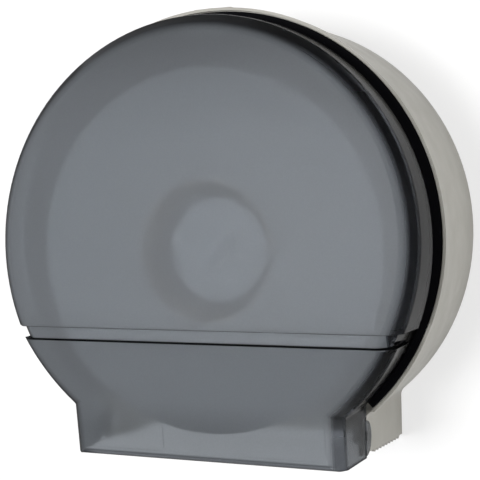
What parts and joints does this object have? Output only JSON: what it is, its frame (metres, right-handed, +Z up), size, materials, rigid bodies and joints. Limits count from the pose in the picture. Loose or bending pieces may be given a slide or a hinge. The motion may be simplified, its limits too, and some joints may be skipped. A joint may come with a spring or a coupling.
{
  "type": "jumbo toilet roll dispenser",
  "caption": "Round wall dispenser for a jumbo toilet roll: grey housing, smoked hinged cover with a straight neck, roll on a spinning hub, turning lock on top.",
  "frame": {"origin": "on the wall plane, at the centre of the round body and of the wall screw pattern", "axes": "+X right as seen from the room, +Y into the wall, +Z up; the cover faces -Y"},
  "size_m": [0.2918, 0.1376, 0.2898],
  "materials": {
    "housing_grey": "satin moulded",
    "cover_smoke": "frosted, see-through, smoked",
    "keeper_grey": "satin moulded",
    "spindle_grey": "satin moulded",
    "hub_grey": "satin moulded",
    "paper": "soft, layered",
    "cardboard": "plain spiral wound",
    "nylon": "natural",
    "lock_metal": "plated",
    "steel": "zinc plated"
  },
  "bodies": {
    "housing": {"rear_housing": "housing_grey", "hinge_pin_left": "steel", "hinge_pin_right": "steel", "spindle_post": "spindle_grey", "spindle_screws": "steel", "thrust_washer": "nylon", "retaining_washer": "steel", "hub_screw": "steel", "lock_body": "lock_metal", "lock_nut": "steel"},
    "cover": {"front_cover": "cover_smoke", "cover_keeper": "keeper_grey", "keeper_screws": "steel"},
    "roll": {"roll_hub": "hub_grey", "hub_cap": "hub_grey", "roll_core": "cardboard", "paper_roll": "paper"},
    "lock": {"lock_plug": "lock_metal", "lock_cam": "steel", "cam_screw": "steel"}
  },
  "joints": [
    {"name": "cover_hinge", "type": "hinge", "parent": "housing", "child": "cover", "pos_m": [0, -0.0846, -0.1235], "axis": [1, 0, 0], "range_deg": [0, 100]},
    {"name": "roll_spin", "type": "hinge", "parent": "housing", "child": "roll", "pos_m": [0, -0.06, -0.0065], "axis": [0, 1, 0], "continuous": true},
    {"name": "lock_turn", "type": "hinge", "parent": "housing", "child": "lock", "pos_m": [0, -0.0726, 0.14], "axis": [0, 0, 1], "range_deg": [0, 90]}
  ]
}
